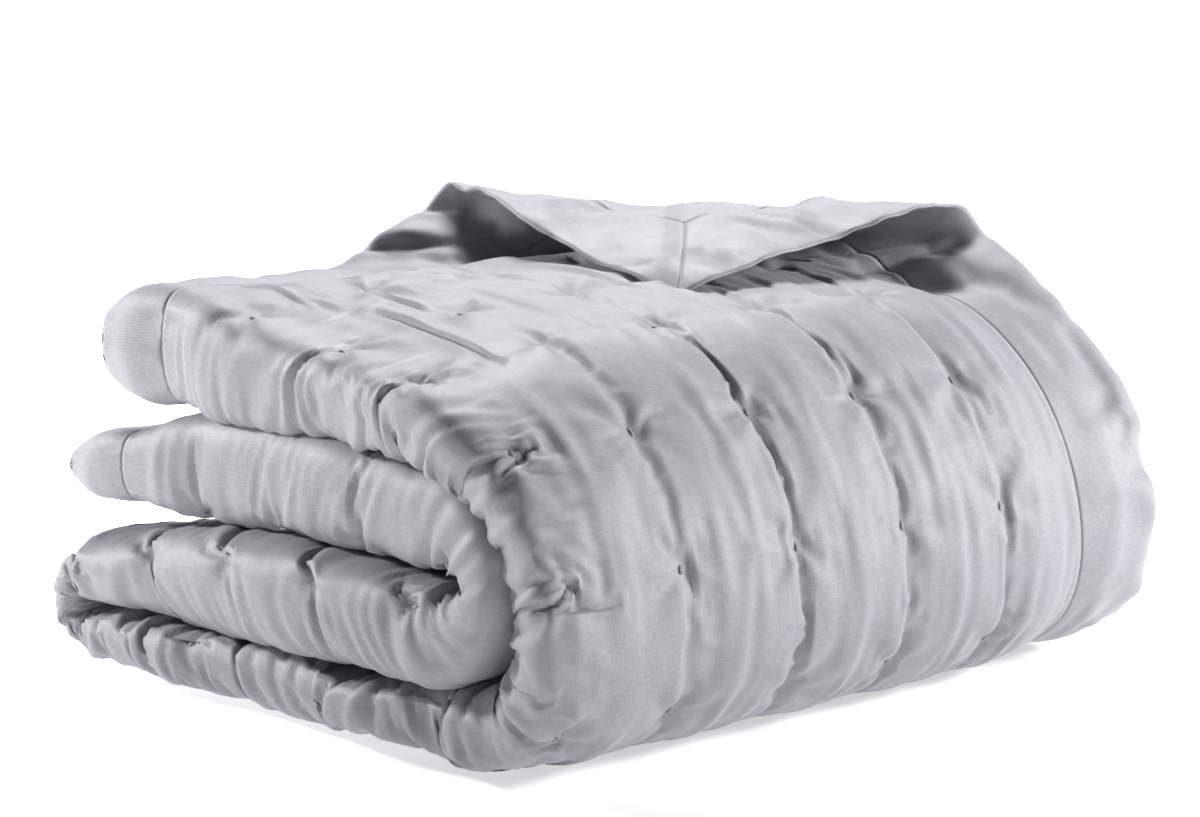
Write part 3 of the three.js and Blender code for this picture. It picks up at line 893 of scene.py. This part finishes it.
# Lilac grey sateen: a fine weave with slubs, faint drag lines and creases, and an uneven gloss
def cloth_material(name, colour, drag, rows_show):
    material = bpy.data.materials.new(name)
    material.use_nodes = True
    nodes = material.node_tree.nodes
    links = material.node_tree.links
    shader = nodes["Principled BSDF"]
    shader.inputs["Sheen Weight"].default_value = 0.12
    shader.inputs["Sheen Roughness"].default_value = 0.35
    shader.inputs["Specular IOR Level"].default_value = 0.42
    flat = nodes.new("ShaderNodeUVMap")
    flat.uv_map = "flat_cloth"

    def stretched(scale, detail, along, across):
        place = nodes.new("ShaderNodeMapping")
        place.inputs["Scale"].default_value = (along, across, 1)
        links.new(flat.outputs["UV"], place.inputs["Vector"])
        noise = nodes.new("ShaderNodeTexNoise")
        noise.inputs["Scale"].default_value = scale
        noise.inputs["Detail"].default_value = detail
        links.new(place.outputs["Vector"], noise.inputs["Vector"])
        return noise.outputs["Fac"]

    def remap(value, low, high, start=0.3, end=0.7):
        span = nodes.new("ShaderNodeMapRange")
        span.inputs["From Min"].default_value = start
        span.inputs["From Max"].default_value = end
        span.inputs["To Min"].default_value = low
        span.inputs["To Max"].default_value = high
        links.new(value, span.inputs["Value"])
        return span.outputs["Result"]

    def calculate(operation, *values):
        node = nodes.new("ShaderNodeMath")
        node.operation = operation
        for socket, value in zip(node.inputs, values):
            if isinstance(value, float):
                socket.default_value = value
            else:
                links.new(value, socket)
        return node.outputs["Value"]

    def bump(height, distance, strength, before=None):
        node = nodes.new("ShaderNodeBump")
        node.inputs["Distance"].default_value = distance
        node.inputs["Strength"].default_value = strength
        links.new(height, node.inputs["Height"])
        if before is not None:
            links.new(before, node.inputs["Normal"])
        return node.outputs["Normal"]

    def threads(along):
        wave = nodes.new("ShaderNodeTexWave")
        wave.bands_direction = "X" if along else "Y"
        wave.inputs["Scale"].default_value = 320
        wave.inputs["Distortion"].default_value = 1.5
        wave.inputs["Detail"].default_value = 1
        links.new(flat.outputs["UV"], wave.inputs["Vector"])
        return wave.outputs["Fac"]

    # A raised line through each row of tufts
    def row_lines():
        parts = nodes.new("ShaderNodeSeparateXYZ")
        links.new(flat.outputs["UV"], parts.inputs["Vector"])
        shifted = calculate("SUBTRACT", parts.outputs["X"], (BORDER + MARGIN) * METRES)
        apart = calculate("PINGPONG", shifted, ROW_PITCH / 2 * METRES)
        line = nodes.new("ShaderNodeMapRange")
        line.interpolation_type = "SMOOTHSTEP"
        line.inputs["From Min"].default_value = 0.0004
        line.inputs["From Max"].default_value = 0.0026
        line.inputs["To Min"].default_value = 1
        line.inputs["To Max"].default_value = 0
        links.new(apart, line.inputs["Value"])
        fading = remap(calculate("ABSOLUTE", parts.outputs["Y"]), 0, 1, 0.055, 0.08)
        uneven = calculate("MULTIPLY", line.outputs["Result"], remap(stretched(22, 1, 1, 1), 0, 1))
        return calculate("MULTIPLY", uneven, fading)

    # Fine sharp creases in all directions
    def crumple():
        noise = nodes.new("ShaderNodeTexNoise")
        noise.noise_type = "RIDGED_MULTIFRACTAL"
        noise.inputs["Scale"].default_value = 14
        noise.inputs["Detail"].default_value = 1.5
        noise.inputs["Distortion"].default_value = 0.4
        links.new(flat.outputs["UV"], noise.inputs["Vector"])
        return noise.outputs["Fac"]

    weave = calculate("MULTIPLY", threads(True), threads(False))
    slubs = calculate("ADD", stretched(900, 2, 0.15, 1), stretched(900, 2, 1, 0.15))
    mix = nodes.new("ShaderNodeMix")
    mix.data_type = "RGBA"
    links.new(remap(slubs, 0, 1, 0.7, 1.3), mix.inputs["Factor"])
    mix.inputs["A"].default_value = (*(0.89 * value for value in colour), 1)
    mix.inputs["B"].default_value = (*(1.11 * value for value in colour), 1)
    links.new(mix.outputs["Result"], shader.inputs["Base Color"])
    links.new(remap(stretched(9, 3, 1, 1), 0.44, 0.56), shader.inputs["Roughness"])
    normal = bump(stretched(26, 1.5, *drag), 0.004, 0.25)
    normal = bump(crumple(), 0.0012, 0.3, normal)
    if rows_show:
        normal = bump(row_lines(), 0.0008, 0.4, normal)
    normal = bump(weave, 0.0004, 0.35, normal)
    links.new(normal, shader.inputs["Normal"])
    return material


panel_cloth = cloth_material("panel_sateen", (0.288, 0.285, 0.316), (0.4, 1.8), True)
border_cloth = cloth_material("border_sateen", (0.293, 0.29, 0.321), (0.7, 0.7), False)

# Small tying stitches: two strands side by side along the cloth at each tuft
STITCH_LENGTH = 7.0
STITCH_RADIUS = 0.55
STITCH_SIDES = 6
STITCH_RINGS = 9


def strand(path):
    ring_points = []
    tangent = np.gradient(path, axis=0)
    tangent /= np.linalg.norm(tangent, axis=1)[:, None]
    for centre, ahead, taper in zip(path, tangent, np.sin(np.linspace(0.15, 0.85, len(path)) * np.pi)):
        side = np.cross(ahead, (0.3, 0.5, 0.81))
        side /= np.linalg.norm(side)
        up = np.cross(ahead, side)
        for k in range(STITCH_SIDES):
            angle = 2 * np.pi * k / STITCH_SIDES
            spoke = side * math.cos(angle) + up * math.sin(angle)
            ring_points.append(centre + spoke * STITCH_RADIUS * math.sqrt(taper))
    return ring_points


def tying_stitches(material):
    points = []
    polygons = []
    random = np.random.default_rng(5)

    def tie(shape, look, i, j):
        centre = shape[i, j]
        along = shape[i + 2, j] - shape[i - 2, j]
        along /= np.linalg.norm(along)
        out = look[i, j]
        across = np.cross(out, along)
        share = np.linspace(-0.5, 0.5, STITCH_RINGS)
        for shift in (-0.5, 0.5):
            lean = random.uniform(-0.9, 0.9)
            lift = 1.1 - 4.2 * share ** 2
            path = centre + np.outer(share * STITCH_LENGTH, along) + np.outer(lift, out)
            path = path + np.outer(shift + lean * share, across)
            first = len(points)
            points.extend(strand(path))
            for ring in range(STITCH_RINGS - 1):
                for k in range(STITCH_SIDES):
                    a = first + ring * STITCH_SIDES + k
                    b = first + ring * STITCH_SIDES + (k + 1) % STITCH_SIDES
                    polygons.append((a, b, b + STITCH_SIDES, a + STITCH_SIDES))
            polygons.append([first + k for k in reversed(range(STITCH_SIDES))])
            last = first + (STITCH_RINGS - 1) * STITCH_SIDES
            polygons.append([last + k for k in range(STITCH_SIDES)])

    for row in range(ROWS):
        i = FIRST_ROW + row * CELL_STEPS
        for column in range(2 * COLUMNS_PER_PLY):
            tie(OUTER, LOOK, i, FIRST_COLUMN + column * CELL_STEPS)
    for row in range(4):
        for column in range(2):
            tie(INNER, -LOOK, FIRST_ROW + row * CELL_STEPS, FIRST_COLUMN + column * CELL_STEPS)
    mesh = bpy.data.meshes.new("tying_stitches")
    mesh.from_pydata((np.array(points) * METRES).tolist(), [], polygons)
    mesh.shade_smooth()
    mesh.materials.append(material)
    piece = bpy.data.objects.new("tying_stitches", mesh)
    bpy.context.scene.collection.objects.link(piece)
    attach(piece, "root")


def thread_material():
    material = bpy.data.materials.new("tying_thread")
    material.use_nodes = True
    nodes = material.node_tree.nodes
    links = material.node_tree.links
    shader = nodes["Principled BSDF"]
    shader.inputs["Roughness"].default_value = 0.6
    place = nodes.new("ShaderNodeTexCoord")
    fibres = nodes.new("ShaderNodeTexNoise")
    fibres.inputs["Scale"].default_value = 1400
    fibres.inputs["Detail"].default_value = 2
    links.new(place.outputs["Object"], fibres.inputs["Vector"])
    mix = nodes.new("ShaderNodeMix")
    mix.data_type = "RGBA"
    links.new(fibres.outputs["Fac"], mix.inputs["Factor"])
    mix.inputs["A"].default_value = (0.28, 0.27, 0.32, 1)
    mix.inputs["B"].default_value = (0.42, 0.41, 0.46, 1)
    links.new(mix.outputs["Result"], shader.inputs["Base Color"])
    twist = nodes.new("ShaderNodeBump")
    twist.inputs["Distance"].default_value = 0.0002
    links.new(fibres.outputs["Fac"], twist.inputs["Height"])
    links.new(twist.outputs["Normal"], shader.inputs["Normal"])
    return material


tying_stitches(thread_material())

pieces = {
    "tufted_panel": panel_shell().build("quilted_panel", panel_cloth),
    "border_top_end": end_border_shell(False, NOSE_END + 30).build("border_top_end_cloth", border_cloth),
    "border_under_end": end_border_shell(True, NOSE_END + 30).build("border_under_end_cloth", border_cloth),
    "border_upper_side": side_border_shell(False, SEEN_ROWS).build("border_upper_side_cloth", border_cloth),
    "border_lower_side": side_border_shell(True, EDGE_STEPS).build("border_lower_side_cloth", border_cloth),
}
for node, piece in pieces.items():
    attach(piece, "root")
    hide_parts(node)


# Floor and soft studio light; the floor has a painted glow, dimmest beside the quilt's big turn and brighter
# further off, that shines up onto the quilt
def stage():
    mesh = bpy.data.meshes.new("floor")
    reach = 12.0
    corners = [(-reach, -reach, 0), (reach, -reach, 0), (reach, reach, 0), (-reach, reach, 0)]
    mesh.from_pydata(corners, [], [(0, 1, 2, 3)])
    floor = bpy.data.objects.new("floor", mesh)
    floor.location.z = -0.0005
    bpy.context.scene.collection.objects.link(floor)
    painted_glow_material = bpy.data.materials.new("floor_painted_glow")
    painted_glow_material.use_nodes = True
    shader = painted_glow_material.node_tree.nodes["Principled BSDF"]
    shader.inputs["Base Color"].default_value = (0.82, 0.82, 0.82, 1)
    shader.inputs["Roughness"].default_value = 0.9
    # Painted glow: the floor emits light although it is no lamp, weakest within 0.4 m of a point beside the
    # big turn and strongest past 1.3 m
    shader.inputs["Emission Color"].default_value = (1, 1, 1, 1)
    floor_nodes = painted_glow_material.node_tree.nodes
    floor_links = painted_glow_material.node_tree.links
    spot = floor_nodes.new("ShaderNodeTexCoord")
    beside = floor_nodes.new("ShaderNodeVectorMath")
    beside.operation = "SUBTRACT"
    beside.inputs[1].default_value = (0.5, 0.1, 0)
    away = floor_nodes.new("ShaderNodeVectorMath")
    away.operation = "LENGTH"
    glow = floor_nodes.new("ShaderNodeMapRange")
    glow.inputs["From Min"].default_value = 0.4
    glow.inputs["From Max"].default_value = 1.3
    glow.inputs["To Min"].default_value = 0.45
    glow.inputs["To Max"].default_value = 1.2
    floor_links.new(spot.outputs["Object"], beside.inputs[0])
    floor_links.new(beside.outputs["Vector"], away.inputs[0])
    floor_links.new(away.outputs["Value"], glow.inputs["Value"])
    floor_links.new(glow.outputs["Result"], shader.inputs["Emission Strength"])
    mesh.materials.append(painted_glow_material)
    world = bpy.data.worlds.new("studio")
    world.use_nodes = True
    nodes = world.node_tree.nodes
    links = world.node_tree.links
    where = nodes.new("ShaderNodeTexCoord")
    toward = nodes.new("ShaderNodeVectorMath")
    toward.operation = "DOT_PRODUCT"
    toward.inputs[1].default_value = (0.25, 0.2, 0.947)
    spread = nodes.new("ShaderNodeMapRange")
    spread.inputs["From Min"].default_value = 0.45
    spread.inputs["From Max"].default_value = 1.0
    spread.inputs["To Min"].default_value = 0.02
    spread.inputs["To Max"].default_value = 0.14
    nodes["Background"].inputs["Color"].default_value = (1, 1, 1, 1)
    links.new(where.outputs["Generated"], toward.inputs[0])
    links.new(toward.outputs["Value"], spread.inputs["Value"])
    links.new(spread.outputs["Result"], nodes["Background"].inputs["Strength"])
    bpy.context.scene.world = world
    bpy.context.scene.view_settings.view_transform = "Standard"


def soft_box(name, place, target, size, power):
    data = bpy.data.lights.new(name, "AREA")
    data.shape = "SQUARE"
    data.size = size
    data.energy = power
    light = bpy.data.objects.new(name, data)
    light.location = place
    aim = [b - a for a, b in zip(place, target)]
    flat = math.hypot(aim[0], aim[1])
    light.rotation_euler = (math.atan2(flat, -aim[2]), 0, math.atan2(aim[1], aim[0]) - math.pi / 2)
    bpy.context.scene.collection.objects.link(light)


stage()
soft_box("overhead", (-0.9, 0.7, 2.0), (0, 0, 0.2), 0.6, 56)
soft_box("right", (1.6, 1.8, 1.0), (0, 0, 0.2), 0.5, 84)
soft_box("left", (-2.2, -1.3, 1.1), (0, 0, 0.12), 0.35, 80)

# The photograph's view
camera = bpy.data.objects.new("camera", bpy.data.cameras.new("camera"))
camera.data.lens = 105
camera.data.sensor_width = 36
camera.location = (1.96801, -1.69994, 0.67140)
camera.rotation_euler = (math.radians(90 - 10.399), 0, math.radians(49.308))
bpy.context.scene.collection.objects.link(camera)
bpy.context.scene.camera = camera
